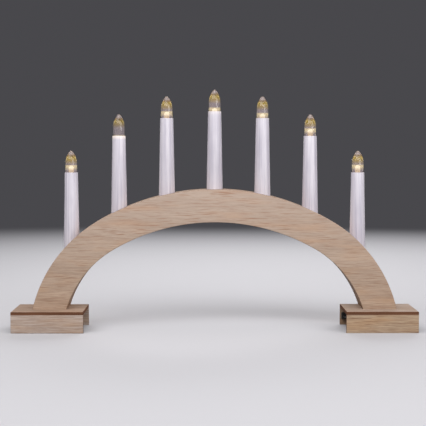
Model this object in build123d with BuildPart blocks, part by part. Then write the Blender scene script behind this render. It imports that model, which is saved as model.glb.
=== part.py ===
"""Candle arch: a hollow wooden arch on two channel feet, with seven tapered LED candles.

All sizes are in millimetres. The origin is on the table, under the middle of the arch.
+X runs along the arch, -Y faces the viewer and +Z is up.
"""

import math
import os

from build123d import *

os.makedirs("parts", exist_ok=True)

# Boards, bent strips and cuts
board = 3.0  # veneered board of the feet and of the arch's two faces
strip = 2.0  # bent plywood on the arch's top and underside
edge_break = 0.4  # sanded corner of the boards
glue_gap = 0.1  # glue line between bent strips and the blocks under them
cut_overrun = 1.0  # cuts run this far past what they cut

# Arch: a crown arc that runs into a tighter haunch arc on each side
overall_width = 400.0  # over the outer ends of the feet
arch_height = 140.0  # crown above the table
arch_depth = 40.0  # front face to rear face
band_width = 32.4  # top to underside, square to the curve
haunch_radius = 138.0  # outer outline beside the legs
crown_half_angle = 30.0  # degrees of crown arc on each side of the middle
leg_inset = 18.7  # leg's outer edge from the foot's outer end
leg_block_height = 24.0  # wooden block that closes each leg

# Candle tubes and the wedge blocks that they stand on
candles_each_side = 3
outer_candle_inset = 37.3  # outermost candle from the leg's outer edge
candle_length = 82.0
candle_base_radius = 8.15
candle_rim_radius = 6.55
candle_base_wall = 1.0
candle_bore_radius = 5.85
candle_bore_depth = 14.0
candle_ledge = 0.85  # shelf at the foot of the bore
candle_ledge_height = 1.5
seat_depth = 4.0  # seat below the arch's surface, on the seat's low side
seat_clearance = 0.25
seat_margin = 3.85  # wood beside the candle
seat_sole = 3.5  # wood under the candle, on the seat's high side
seat_toe = 12.0  # wood under the candle, on the seat's low side
seat_wire_hole_radius = 2.5

# Clear pointed tips, pushed into the candles
tip_clearance = 0.1
tip_skirt = 8.0  # below the candle's rim
tip_straight = 9.0  # above the rim
tip_height = 21.7  # above the rim
tip_point_radius = 1.8
tip_wall = 1.5
tip_solid = 5.0  # solid point over the hollow
tip_hollow_straight = 7.0
tip_hollow_point_radius = 0.8

# Light-emitting diodes on stiff leads, at the heights that hand soldering left them
led_radius = 2.5
led_length = 8.6
led_flange_radius = 2.9
led_flange = 1.0
led_highest_lift = 6.8  # highest diode above its holder
led_lift_shares = (0.94, 0.0, 0.87, 0.43, 0.63, 0.97, 1.0)
lead_radius = 0.25
lead_pitch = 2.54
lead_clearance = 0.1
lead_tail = 5.0  # lead below the holder
holder_clearance = 0.05

# Battery box with two AA cells side by side
cell_radius = 7.25
cell_length = 50.5
cell_nub_radius = 2.75
cell_nub = 1.0
cell_gap = 0.3  # between the cells
cell_play = 0.35  # beside the cells
cell_roof_gap = 0.1
box_wall = 1.6
box_roof = 0.8
box_lip = 0.75  # rail under the cover's edges
box_table_gap = 0.4
cover_thickness = 1.0
cover_gap = 0.3  # under the cells
cover_play = 0.15
cover_tongue = 0.75  # cover's edge in the box's groove
grip_ribs = 5
grip_rib_width = 0.8
grip_rib_height = 0.4
grip_rib_pitch = 2.0
grip_rib_length = 14.0
grip_end_inset = 5.0

# Sheet-metal battery contacts
contact = 0.4
contact_width = 10.0
contact_height = 10.0
leaf_reach = 4.9
leaf_width = 6.0
leaf_flat_half = 1.0  # half the flat that presses on the cell
leaf_free_reach = 2.0
tag_width = 3.0
tag_reach = 1.2  # solder tag outside the box
tag_offset = 2.5  # tags above and below the cells' axis
tag_clearance = 0.2

# Where the battery box stands in the right foot
box_inner_margin = 7.5  # from the foot's inner end
box_outer_margin = 4.1  # from the foot's outer end
box_front_gap = 0.3
box_wire_gap = 3.5  # box to the plane midway between the two wires

# Slide switch behind the right foot's rear wall
switch_end_inset = 1.2  # from the foot's inner end
switch_length = 12.0
switch_height = 6.2
switch_depth = 5.0
switch_rise = 0.7  # above the middle of the wall
switch_travel = 3.0
switch_clearance = 0.2
knob_length = 3.0
knob_height = 3.0
knob_recess = 0.2  # knob's face inside the wall's face
knob_grooves = 3
knob_groove = 0.4
flange_length = 5.4
flange_height = 4.6
flange_thickness = 1.0
flange_back_gap = 0.4
switch_pins = 3
pin_radius = 0.4
pin_length = 2.5
pin_pitch = 4.0

# Wires
wire_radius = 0.6
branch_radius = 0.5
wire_gap = 0.1  # wires above the arch's underside strip
wire_bend = 2.0
wire_wide_bend = 4.0
wire_rise = 7.0  # straight rise into the leg
wire_standoff = 3.2  # bend outside the battery box
wire_hole_radius = 2.5
wire_groove_depth = 6.4
wire_groove_width = 6.0

# Screws that hold the legs to the feet
screw_radius = 1.75
screw_length = 18.0
screw_head_radius = 3.5
screw_head_angle = 90.0  # degrees across the countersunk head
screw_clearance = 0.1
screw_pitch = 12.0
screw_leg_inset = 20.3  # screws' middle from the leg's outer edge
screw_setback = 7.0  # behind the plane midway between the two wires

# Battery box and the feet that are built round it
box_inner_length = cell_length + leaf_reach + 2 * contact
box_inner_width = 4 * cell_radius + cell_gap + 2 * cell_play
box_length = box_inner_length + 2 * box_wall
box_width = box_inner_width + 2 * box_wall
cover_stack = cover_gap + cover_thickness + cover_play
box_height = box_roof + cell_roof_gap + 2 * cell_radius + cover_stack + box_lip
foot_length = box_length + box_inner_margin + box_outer_margin
foot_wall_height = box_height + box_table_gap
foot_top = foot_wall_height + board
foot_depth = board + box_front_gap + box_width + box_wire_gap + arch_depth / 2
foot_middle_x = overall_width / 2 - foot_length / 2
foot_inner_x = overall_width / 2 - foot_length
foot_front_y = -foot_depth / 2
foot_rear_y = foot_depth / 2

# The arch stands flush with the rear of the feet
arch_rear_y = foot_rear_y
arch_front_y = arch_rear_y - arch_depth
hollow_front_y = arch_front_y + board
hollow_rear_y = arch_rear_y - board
candle_y = (arch_front_y + arch_rear_y) / 2
sides = (("left", -1), ("right", 1))
standing = (Align.CENTER, Align.CENTER, Align.MIN)

# The crown's radius follows from the height, the span, the haunch and the angle between them
turn = math.radians(crown_half_angle)
leg_half_span = overall_width / 2 - leg_inset
crown_drop = 1 - math.cos(turn)
haunch_excess = haunch_radius - (arch_height - foot_top)
half_sum = leg_half_span * math.sin(turn) - haunch_excess * crown_drop
remainder = leg_half_span**2 + haunch_excess**2 - haunch_radius**2
radius_step = (half_sum - math.sqrt(half_sum**2 - 2 * crown_drop * remainder)) / (2 * crown_drop)
crown_radius = haunch_radius + radius_step
crown_centre_z = arch_height - crown_radius
haunch_centre_x = radius_step * math.sin(turn)
haunch_centre_z = crown_centre_z + radius_step * math.cos(turn)


def outline_point(angle, inset):
    """Point of the outline, moved inwards by the inset, at an angle from the vertical."""
    if abs(angle) <= turn:
        radius = crown_radius - inset
        return radius * math.sin(angle), crown_centre_z + radius * math.cos(angle)
    radius = haunch_radius - inset
    x = haunch_centre_x + radius * math.sin(abs(angle))
    return math.copysign(x, angle), haunch_centre_z + radius * math.cos(angle)


def angle_at_height(inset, z):
    """Angle at which a haunch comes down to a height."""
    return math.acos((z - haunch_centre_z) / (haunch_radius - inset))


def angle_at_x(inset, x):
    """Angle at which the outline stands over a distance from the middle."""
    if abs(x) <= (crown_radius - inset) * math.sin(turn):
        return math.asin(x / (crown_radius - inset))
    return math.copysign(math.asin((abs(x) - haunch_centre_x) / (haunch_radius - inset)), x)


def height_at_x(inset, x):
    """Height of the inset outline over a distance from the middle."""
    return outline_point(angle_at_x(inset, x), inset)[1]


def inset_at(x, z):
    """How far a point lies inside the outline."""
    if math.atan2(abs(x), z - crown_centre_z) <= turn:
        return crown_radius - math.hypot(x, z - crown_centre_z)
    return haunch_radius - math.hypot(abs(x) - haunch_centre_x, z - haunch_centre_z)


def arch_layer(outer_inset, inner_inset, front_y, rear_y):
    """Part of the arch between two insets of its outline, standing on the feet."""
    with BuildPart() as layer:
        with BuildSketch(Plane.XZ.offset(-rear_y)):
            with BuildLine():
                ends = {inset: angle_at_height(inset, foot_top) for inset in (outer_inset, inner_inset)}
                for inset, end in ends.items():
                    for start, stop in ((-end, -turn), (-turn, turn), (turn, end)):
                        middle = (start + stop) / 2
                        ThreePointArc(*[outline_point(angle, inset) for angle in (start, middle, stop)])
                for side in (-1, 1):
                    Line(*[outline_point(side * end, inset) for inset, end in ends.items()])
            make_face()
        extrude(amount=rear_y - front_y)
    return layer.part


def upright(x, z):
    """Plane through a candle's axis, facing the viewer, with its origin at a height."""
    return Plane(origin=(x, candle_y, z), x_dir=(1, 0, 0), z_dir=(0, -1, 0))


def candle_axis(x):
    """Upright axis of a candle."""
    return Axis((x, candle_y, 0), (0, 0, 1))


def save(piece, label):
    """Label a finished piece and write it as its own file."""
    piece.part.label = label
    export_step(piece.part, f"parts/{label}.step")


# Candles: where each stands and how high its seat and rim are
candle_pitch = (leg_half_span - outer_candle_inset) / candles_each_side
candle_xs = [candle_pitch * step for step in range(-candles_each_side, candles_each_side + 1)]
seat_floors = [height_at_x(0, abs(x) + candle_base_radius) - seat_depth for x in candle_xs]
candle_rims = [floor + candle_length for floor in seat_floors]
seat_radius = candle_base_radius + seat_clearance

# Front and rear faces of the arch, cut from veneered board
for name, front_y, outward in (("front", arch_front_y, 0), ("rear", arch_rear_y - board, -1)):
    with BuildPart() as arch_panel:
        add(arch_layer(0, band_width, front_y, front_y + board))
        shown_face = arch_panel.faces().sort_by(Axis.Y)[outward]
        chamfer(shown_face.edges().filter_by(GeomType.CIRCLE), length=edge_break)
    save(arch_panel, f"arch_{name}_panel")

# Bent strip along the top, with a hole for each candle
with BuildPart() as arch_top_strip:
    add(arch_layer(0, strip, hollow_front_y, hollow_rear_y))
    with BuildSketch(Plane.XY.offset(foot_top)):
        with Locations(*[(x, candle_y) for x in candle_xs]):
            Circle(seat_radius)
    extrude(amount=arch_height - foot_top + cut_overrun, mode=Mode.SUBTRACT)
save(arch_top_strip, "arch_top_strip")

# Bent strip along the underside
with BuildPart() as arch_soffit_strip:
    add(arch_layer(band_width - strip, band_width, hollow_front_y, hollow_rear_y))
save(arch_soffit_strip, "arch_soffit_strip")

# Wedge blocks under the top strip, each with a level seat and a hole for the wires
for number, (x, floor) in enumerate(zip(candle_xs, seat_floors), start=1):
    sole_inset = inset_at(abs(x) - seat_radius, floor) + seat_sole
    with BuildPart() as candle_seat:
        add(arch_layer(strip + glue_gap, sole_inset, hollow_front_y, hollow_rear_y))
        with Locations((x, candle_y, floor - seat_toe)):
            seat_length = 2 * (candle_base_radius + seat_margin)
            Box(seat_length, arch_depth, arch_height, align=standing, mode=Mode.INTERSECT)
        with BuildSketch(Plane.XY.offset(floor)):
            with Locations((x, candle_y)):
                Circle(seat_radius)
        extrude(amount=candle_length, mode=Mode.SUBTRACT)
        with BuildSketch(Plane.XY.offset(floor)):
            with Locations((x, candle_y)):
                Circle(seat_wire_hole_radius)
        extrude(amount=-floor, mode=Mode.SUBTRACT)
    save(candle_seat, f"candle_seat_{number}")

# Blocks that close the legs, with pilot holes for the screws and a groove for the wires
screw_y = candle_y + screw_setback
screw_xs = [leg_half_span - screw_leg_inset + step * screw_pitch / 2 for step in (-1, 1)]
groove_inset = band_width - strip - wire_groove_depth
for name, side in sides:
    with BuildPart() as leg_block:
        add(arch_layer(strip + glue_gap, band_width - strip - glue_gap, hollow_front_y, hollow_rear_y))
        with Locations((side * overall_width / 4, candle_y, foot_top)):
            Box(overall_width / 2, arch_depth, leg_block_height, align=standing, mode=Mode.INTERSECT)
        groove_front_y = candle_y - wire_groove_width / 2
        add(
            arch_layer(groove_inset, band_width, groove_front_y, groove_front_y + wire_groove_width),
            mode=Mode.SUBTRACT,
        )
        with BuildSketch(Plane.XY.offset(foot_top)):
            with Locations(*[(side * x, screw_y) for x in screw_xs]):
                Circle(screw_radius + screw_clearance)
        extrude(amount=screw_length, mode=Mode.SUBTRACT)
    save(leg_block, f"leg_block_{name}")

# Top boards of the feet, countersunk from below, with a wire hole in the right one
wire_inset = band_width - strip - wire_gap - wire_radius
wire_hole_x = outline_point(angle_at_height(wire_inset, foot_wall_height + board / 2), wire_inset)[0]
for name, side in sides:
    with BuildPart() as foot_top_board:
        with BuildSketch(Plane.XY.offset(foot_wall_height)):
            with Locations((side * foot_middle_x, 0)):
                Rectangle(foot_length, foot_depth)
        extrude(amount=board)
        chamfer(foot_top_board.faces().sort_by(Axis.Z)[-1].edges(), length=edge_break)
        heads = [Plane((side * x, screw_y, foot_wall_height), z_dir=(0, 0, -1)) for x in screw_xs]
        with Locations(*heads):
            CounterSinkHole(
                screw_radius + screw_clearance,
                screw_head_radius + screw_clearance,
                depth=board + cut_overrun,
                counter_sink_angle=screw_head_angle,
            )
        if side > 0:
            with Locations((wire_hole_x, candle_y, foot_top)):
                Hole(wire_hole_radius, depth=board)
    save(foot_top_board, f"{name}_foot_top")

# Front and rear walls of the feet, with a slot for the switch in the right rear one
wall_front_y = foot_rear_y - board
switch_x = foot_inner_x + switch_end_inset + switch_length / 2
switch_z = foot_wall_height / 2 + switch_rise
slot_length = knob_length + switch_travel + 2 * switch_clearance
slot_height = knob_height + 2 * switch_clearance
for name, side in sides:
    for place, front_y, outward in (("front", foot_front_y, 0), ("rear", wall_front_y, -1)):
        with BuildPart() as foot_wall:
            with BuildSketch(Plane.XY):
                with Locations((side * foot_middle_x, front_y + board / 2)):
                    Rectangle(foot_length, board)
            extrude(amount=foot_wall_height)
            shown_edges = foot_wall.faces().sort_by(Axis.Y)[outward].edges()
            chamfer(shown_edges.sort_by(Axis.Z)[:-1], length=edge_break)
            if (name, place) == ("right", "rear"):
                with BuildSketch(Plane.XZ.offset(-foot_rear_y)):
                    with Locations((switch_x, switch_z)):
                        Rectangle(slot_length, slot_height)
                extrude(amount=board, mode=Mode.SUBTRACT)
        save(foot_wall, f"{name}_foot_{place}")

# Countersunk screws, up through the feet into the leg blocks
screw_head_height = (screw_head_radius - screw_radius) / math.tan(math.radians(screw_head_angle / 2))
with BuildPart() as leg_screws:
    with Locations(*[(side * x, screw_y, foot_wall_height) for side in (-1, 1) for x in screw_xs]):
        Cylinder(screw_radius, screw_length, align=standing)
        Cone(screw_head_radius, screw_radius, screw_head_height, align=standing)
save(leg_screws, "leg_screws")

# Candle tubes: tapered plastic, with a straight bore in the top that ends on a ledge
ledge_z = candle_length - candle_bore_depth
ledge_radius = candle_bore_radius - candle_ledge
for number, (x, floor) in enumerate(zip(candle_xs, seat_floors), start=1):
    with BuildPart() as candle_tube:
        with BuildSketch(upright(x, floor)):
            with BuildLine():
                Polyline(
                    (candle_base_radius, 0),
                    (candle_rim_radius, candle_length),
                    (candle_bore_radius, candle_length),
                    (candle_bore_radius, ledge_z),
                    (ledge_radius, ledge_z),
                    (ledge_radius, ledge_z - candle_ledge_height),
                    (candle_base_radius - candle_base_wall, 0),
                    close=True,
                )
            make_face()
        revolve(axis=candle_axis(x))
    save(candle_tube, f"candle_tube_{number}")

# Holders: plugs on the ledge of each candle, with two holes for the diode's leads
holder_height = candle_bore_depth - tip_skirt
for number, (x, rim) in enumerate(zip(candle_xs, candle_rims), start=1):
    leads = [(x, candle_y + step * lead_pitch / 2) for step in (-1, 1)]
    with BuildPart() as led_holder:
        with BuildSketch(Plane.XY.offset(rim - candle_bore_depth)):
            with Locations((x, candle_y)):
                Circle(candle_bore_radius - holder_clearance)
            with Locations(*leads):
                Circle(lead_radius + lead_clearance, mode=Mode.SUBTRACT)
        extrude(amount=holder_height)
    save(led_holder, f"led_holder_{number}")

# Diodes: domed bodies with a flange, on two leads that reach down through the holder
for number, (x, rim, share) in enumerate(zip(candle_xs, candle_rims, led_lift_shares), start=1):
    led_z = rim - tip_skirt + led_highest_lift * share
    lead_end_z = rim - candle_bore_depth - lead_tail
    with BuildPart() as led:
        with BuildSketch(upright(x, led_z)):
            with BuildLine():
                shoulder_z = led_length - led_radius
                Polyline(
                    (0, led_length),
                    (0, 0),
                    (led_flange_radius, 0),
                    (led_flange_radius, led_flange),
                    (led_radius, led_flange),
                    (led_radius, shoulder_z),
                )
                CenterArc((0, shoulder_z), led_radius, 0, 90)
            make_face()
        revolve(axis=candle_axis(x))
        with BuildSketch(Plane.XY.offset(lead_end_z)):
            with Locations(*[(x, candle_y + step * lead_pitch / 2) for step in (-1, 1)]):
                Circle(lead_radius)
        extrude(amount=led_z - lead_end_z + led_flange)
    save(led, f"led_{number}")


def pointed(radius, straight, height, point_radius):
    """Points of a straight side, the arc that narrows it and the small round point."""
    rise = height - straight - point_radius
    arc_radius = (radius**2 + rise**2 - point_radius**2) / (2 * (radius - point_radius))
    lean = math.atan2(rise, arc_radius - radius)
    centre = radius - arc_radius
    steps = (0, lean / 2, lean)
    arc = [(centre + arc_radius * math.cos(a), straight + arc_radius * math.sin(a)) for a in steps]
    bend = (lean + math.pi / 2) / 2
    round_middle = (point_radius * math.cos(bend), straight + rise + point_radius * math.sin(bend))
    return arc, [arc[-1], round_middle, (0, height)]


# Clear pointed tips: hollow round the diode, solid at the point, resting on the holder
tip_radius = candle_bore_radius - tip_clearance
tip_outer = pointed(tip_radius, tip_straight, tip_height, tip_point_radius)
hollow_height = tip_height - tip_solid
tip_hollow = pointed(tip_radius - tip_wall, tip_hollow_straight, hollow_height, tip_hollow_point_radius)
for number, (x, rim) in enumerate(zip(candle_xs, candle_rims), start=1):
    with BuildPart() as candle_tip:
        with BuildSketch(upright(x, rim)):
            with BuildLine():
                for arc, point in (tip_outer, tip_hollow):
                    Line((arc[0][0], -tip_skirt), arc[0])
                    ThreePointArc(*arc)
                    ThreePointArc(*point)
                Line((0, tip_height), (0, hollow_height))
                Line((tip_radius, -tip_skirt), (tip_radius - tip_wall, -tip_skirt))
            make_face()
        revolve(axis=candle_axis(x))
    save(candle_tip, f"candle_tip_{number}")

# Battery box: open below, with a groove along each side for the cover
box_inner_x = foot_inner_x + box_inner_margin
box_outer_x = box_inner_x + box_length
box_middle_x = (box_inner_x + box_outer_x) / 2
box_middle_y = foot_front_y + board + box_front_gap + box_width / 2
box_bottom = foot_wall_height - box_height
cell_z = foot_wall_height - box_roof - cell_roof_gap - cell_radius
cell_pitch = 2 * cell_radius + cell_gap
cell_front_y = box_middle_y - cell_pitch / 2
cell_rear_y = box_middle_y + cell_pitch / 2
cover_top = cell_z - cell_radius - cover_gap
cover_bottom = cover_top - cover_thickness
mouth_x = box_inner_x + box_wall
mouth_length = box_length - box_wall + cut_overrun
tags = ((cell_front_y, cell_z - tag_offset), (cell_rear_y, cell_z + tag_offset))
with BuildPart() as battery_box:
    with BuildSketch(Plane.XY.offset(box_bottom)):
        with Locations((box_middle_x, box_middle_y)):
            Rectangle(box_length, box_width)
    extrude(amount=box_height)
    with BuildSketch(Plane.XY.offset(box_bottom)):
        with Locations((box_middle_x, box_middle_y)):
            Rectangle(box_inner_length, box_inner_width)
    extrude(amount=box_height - box_roof, mode=Mode.SUBTRACT)
    with BuildSketch(Plane.XY.offset(box_bottom)):
        with Locations((mouth_x + mouth_length / 2, box_middle_y)):
            Rectangle(mouth_length, box_inner_width)
    extrude(amount=cover_top + cover_play - box_bottom, mode=Mode.SUBTRACT)
    with BuildSketch(Plane.XY.offset(cover_bottom - cover_play)):
        with Locations((mouth_x + mouth_length / 2, box_middle_y)):
            Rectangle(mouth_length, box_inner_width + 2 * (cover_tongue + cover_play))
    extrude(amount=cover_thickness + 2 * cover_play, mode=Mode.SUBTRACT)
    with BuildSketch(Plane.YZ.offset(box_inner_x)):
        with Locations(*tags):
            Rectangle(tag_width + 2 * tag_clearance, contact + 2 * tag_clearance)
    extrude(amount=box_wall, mode=Mode.SUBTRACT)
save(battery_box, "battery_box")

# Cover that slides out of the foot's outer end, with ribs for the thumb
cover_length = box_length - box_wall - cover_play
with BuildPart() as battery_cover:
    with BuildSketch(Plane.XY.offset(cover_bottom)):
        with Locations((box_outer_x - cover_length / 2, box_middle_y)):
            Rectangle(cover_length, box_inner_width + 2 * cover_tongue)
    extrude(amount=cover_thickness)
    with BuildSketch(Plane.XY.offset(cover_bottom)):
        ribs_span = (grip_ribs - 1) * grip_rib_pitch
        with Locations((box_outer_x - grip_end_inset - ribs_span / 2, box_middle_y)):
            with GridLocations(grip_rib_pitch, 0, grip_ribs, 1):
                Rectangle(grip_rib_width, grip_rib_length)
    extrude(amount=-grip_rib_height)
save(battery_cover, "battery_cover")

# Two AA cells, head to tail
contacts_inner_x = mouth_x + contact
contacts_outer_x = box_outer_x - box_wall - contact
cell_body = cell_length - cell_nub
with BuildPart() as aa_cells:
    for end_x, y, way in ((contacts_outer_x, cell_rear_y, -1), (contacts_inner_x, cell_front_y, 1)):
        with BuildSketch(Plane.YZ.offset(end_x)):
            with Locations((y, cell_z)):
                Circle(cell_nub_radius)
        extrude(amount=way * cell_nub)
        with BuildSketch(Plane.YZ.offset(end_x + way * cell_nub)):
            with Locations((y, cell_z)):
                Circle(cell_radius)
        extrude(amount=way * cell_body)
save(aa_cells, "aa_cells")


def leaf_points(plate_x, way):
    """Outline of a bent leaf that springs from a plate and presses on a cell's flat end."""
    half = contact_height / 2
    bend = leaf_reach - contact
    reach = [
        (-contact, -half),
        (0, -half),
        (leaf_reach, -leaf_flat_half),
        (leaf_reach, leaf_flat_half),
        (leaf_free_reach, half),
        (leaf_free_reach - contact, half),
        (bend, leaf_flat_half),
        (bend, -leaf_flat_half),
    ]
    return [(plate_x + way * along, cell_z + up) for along, up in reach]


# Contacts: a plain plate, a plate with a leaf, and a bridge with a leaf across both cells
bridge_width = cell_pitch + contact_width
negative_leaf = (contacts_inner_x, cell_rear_y, 1)
bridge_leaf = (contacts_outer_x, cell_front_y, -1)
plates = (
    ("contact_positive", mouth_x, cell_front_y, contact_width, None, tags[0]),
    ("contact_negative", mouth_x, cell_rear_y, contact_width, negative_leaf, tags[1]),
    ("contact_bridge", contacts_outer_x, box_middle_y, bridge_width, bridge_leaf, None),
)
for name, plate_x, y, width, leaf, tag in plates:
    with BuildPart() as battery_contact:
        with BuildSketch(Plane.YZ.offset(plate_x)):
            with Locations((y, cell_z)):
                Rectangle(width, contact_height)
        extrude(amount=contact)
        if leaf:
            leaf_x, leaf_y, way = leaf
            with BuildSketch(Plane.XZ.offset(-leaf_y - leaf_width / 2)):
                with BuildLine():
                    Polyline(*leaf_points(leaf_x, way), close=True)
                make_face()
            extrude(amount=leaf_width)
        if tag:
            with BuildSketch(Plane.YZ.offset(box_inner_x - tag_reach)):
                with Locations(tag):
                    Rectangle(tag_width, contact)
            extrude(amount=tag_reach + box_wall)
    save(battery_contact, name)

# Slide switch: a body on the wall's inner face, with three solder pins
cavity_length = flange_length + switch_travel + 2 * switch_clearance
cavity_height = flange_height + 2 * switch_clearance
cavity_depth = switch_clearance + flange_thickness + flange_back_gap
switch_front_y = wall_front_y - switch_depth
with BuildPart() as switch_body:
    with BuildSketch(Plane.XZ.offset(-wall_front_y)):
        with Locations((switch_x, switch_z)):
            Rectangle(switch_length, switch_height)
    extrude(amount=switch_depth)
    with BuildSketch(Plane.XZ.offset(-wall_front_y)):
        with Locations((switch_x, switch_z)):
            Rectangle(cavity_length, cavity_height)
    extrude(amount=cavity_depth, mode=Mode.SUBTRACT)
    with BuildSketch(Plane.XZ.offset(-switch_front_y)):
        with Locations((switch_x, switch_z)):
            with GridLocations(pin_pitch, 0, switch_pins, 1):
                Circle(pin_radius)
    extrude(amount=pin_length)
save(switch_body, "switch_body")

# Switch knob, at its lit end: a flange held behind the wall and a grooved thumb piece in the slot
knob_x = switch_x + switch_travel / 2
knob_face_y = foot_rear_y - knob_recess
flange_rear_y = wall_front_y - switch_clearance
with BuildPart() as switch_knob:
    with BuildSketch(Plane.XZ.offset(-flange_rear_y)):
        with Locations((knob_x, switch_z)):
            Rectangle(flange_length, flange_height)
    extrude(amount=flange_thickness)
    with BuildSketch(Plane.XZ.offset(-knob_face_y)):
        with Locations((knob_x, switch_z)):
            Rectangle(knob_length, knob_height)
    extrude(amount=knob_face_y - flange_rear_y)
    with BuildSketch(Plane.XZ.offset(-knob_face_y)):
        with Locations((knob_x, switch_z)):
            with GridLocations(2 * knob_groove, 0, knob_grooves, 1):
                Rectangle(knob_groove, knob_height)
    extrude(amount=knob_groove, mode=Mode.SUBTRACT)
save(switch_knob, "switch_knob")

# Wires: from the foot up the right leg, along the arch's underside and up into each candle
rise_angle = angle_at_height(wire_inset, foot_wall_height)
rise_x, rise_z = outline_point(rise_angle, wire_inset)
elbow_x = rise_x + wire_rise * math.cos(rise_angle)
elbow_z = rise_z - wire_rise * math.sin(rise_angle)
last_angle = angle_at_x(wire_inset, candle_xs[0])
pin_end_y = switch_front_y - pin_length
tag_end_x = box_inner_x - tag_reach
standoff_x = box_inner_x - wire_standoff
passage_y = (box_middle_y + box_width / 2 + pin_end_y) / 2
feeds = {
    "wire_negative": (
        candle_y + lead_pitch / 2,
        [(switch_x, pin_end_y, switch_z), (switch_x, passage_y, switch_z)],
        [wire_wide_bend / 2, wire_wide_bend],
    ),
    "wire_positive": (
        candle_y - lead_pitch / 2,
        [
            (tag_end_x, cell_front_y, tags[0][1]),
            (standoff_x, cell_front_y, tags[0][1]),
            (standoff_x, candle_y, tags[0][1]),
        ],
        [wire_bend / 2, wire_wide_bend, wire_wide_bend],
    ),
}
for name, (y, start, bends) in feeds.items():
    with BuildPart() as wire:
        with BuildLine() as route:
            FilletPolyline(*start, (elbow_x, y, elbow_z), (rise_x, y, rise_z), radius=bends)
            for first, last in ((rise_angle, turn), (turn, -turn), (-turn, last_angle)):
                points = [outline_point(angle, wire_inset) for angle in (first, (first + last) / 2, last)]
                ThreePointArc(*[(x, y, z) for x, z in points])
        with BuildSketch(Plane(route.line @ 0, z_dir=route.line % 0)):
            Circle(wire_radius)
        sweep(path=route.line)
        for x, rim in zip(candle_xs, candle_rims):
            trunk_z = height_at_x(wire_inset, x)
            with BuildSketch(Plane.XY.offset(trunk_z)):
                with Locations((x, y)):
                    Circle(branch_radius)
            extrude(amount=rim - candle_bore_depth - lead_tail - trunk_z)
    save(wire, name)

# Short wire from the battery's negative contact to the switch
with BuildPart() as wire_switch:
    with BuildLine() as route:
        FilletPolyline(
            (tag_end_x, cell_rear_y, tags[1][1]),
            (standoff_x, cell_rear_y, tags[1][1]),
            (switch_x - pin_pitch, passage_y, switch_z),
            (switch_x - pin_pitch, pin_end_y, switch_z),
            radius=[wire_bend / 2, wire_bend],
        )
    with BuildSketch(Plane(route.line @ 0, z_dir=route.line % 0)):
        Circle(wire_radius)
    sweep(path=route.line)
save(wire_switch, "wire_switch")

print(f"crown radius {crown_radius:.2f}, foot {foot_length:.2f} x {foot_depth:.2f} x {foot_top:.2f}")
print("candle rims", ", ".join(f"{rim:.2f}" for rim in candle_rims))
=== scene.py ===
import math

import bpy
from mathutils import Matrix, Vector


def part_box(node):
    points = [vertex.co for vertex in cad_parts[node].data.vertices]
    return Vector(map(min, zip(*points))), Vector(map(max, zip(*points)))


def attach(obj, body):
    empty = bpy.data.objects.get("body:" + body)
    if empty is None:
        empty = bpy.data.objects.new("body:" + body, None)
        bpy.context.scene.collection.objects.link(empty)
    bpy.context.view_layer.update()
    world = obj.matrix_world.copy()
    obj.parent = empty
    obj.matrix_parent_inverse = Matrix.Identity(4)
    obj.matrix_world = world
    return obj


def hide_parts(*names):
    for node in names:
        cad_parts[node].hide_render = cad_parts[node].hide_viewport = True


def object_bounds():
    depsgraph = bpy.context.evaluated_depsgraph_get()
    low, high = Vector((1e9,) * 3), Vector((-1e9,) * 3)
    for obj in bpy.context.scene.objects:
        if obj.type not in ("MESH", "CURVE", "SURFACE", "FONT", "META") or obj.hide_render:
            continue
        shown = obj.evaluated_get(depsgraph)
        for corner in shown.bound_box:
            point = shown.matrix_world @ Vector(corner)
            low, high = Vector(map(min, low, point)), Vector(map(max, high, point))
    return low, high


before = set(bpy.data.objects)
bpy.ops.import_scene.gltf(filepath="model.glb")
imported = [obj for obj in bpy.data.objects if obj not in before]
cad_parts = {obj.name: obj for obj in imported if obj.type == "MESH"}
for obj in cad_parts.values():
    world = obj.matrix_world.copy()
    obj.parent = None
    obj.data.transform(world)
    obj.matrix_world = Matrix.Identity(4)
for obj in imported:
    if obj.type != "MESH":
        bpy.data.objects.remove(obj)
cad_low, cad_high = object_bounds()

# Feet: two channels, each of a top board and two walls, glued at the corners.
# The board is brown pressed fibre with a pale veneer on both faces, so its brown core shows along
# every sawn edge. The veneer's grain runs along the arch.
millimetre = 0.001


def shade(red, green, blue):
    """A colour as it shows on a screen, from 0 to 255, as the shader needs it."""
    shares = [level / 255 for level in (red, green, blue)]
    return [s / 12.92 if s <= 0.04045 else ((s + 0.055) / 1.055) ** 2.4 for s in shares] + [1.0]


def feed(tree, socket, value):
    """Link a socket to another node's output, or set its own value."""
    if isinstance(value, bpy.types.NodeSocket):
        tree.links.new(value, socket)
    else:
        socket.default_value = value


def add_node(tree, kind, inputs, **settings):
    """Add a shader node with its settings, and feed its inputs by name or number."""
    node = tree.nodes.new(kind)
    for setting, value in settings.items():
        setattr(node, setting, value)
    for key, value in inputs.items():
        feed(tree, node.inputs[key], value)
    return node


def work_out(tree, operation, first, second=0.0, third=0.0, clamp=False):
    """A sum on up to three values."""
    inputs = {0: first, 1: second, 2: third}
    return add_node(tree, "ShaderNodeMath", inputs, operation=operation, use_clamp=clamp).outputs[0]


def between(tree, value, low, high, to_low=0.0, to_high=1.0):
    """Where a value lies between two limits, as a share or on another scale."""
    limits = {"Value": value, "From Min": low, "From Max": high, "To Min": to_low, "To Max": to_high}
    return add_node(tree, "ShaderNodeMapRange", limits).outputs[0]


def mix_colours(tree, share, first, second):
    """Two colours mixed by a share."""
    return add_node(tree, "ShaderNodeMix", {0: share, 6: first, 7: second}, data_type="RGBA").outputs[2]


def part_of(tree, place, axis):
    """A place's measure along one axis."""
    return add_node(tree, "ShaderNodeSeparateXYZ", {0: place}).outputs[axis]


def moved(tree, place, shift):
    """A place moved along, so that each board is cut from its own part of the veneer."""
    return add_node(tree, "ShaderNodeMapping", {"Vector": place, "Location": shift}).outputs[0]


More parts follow.
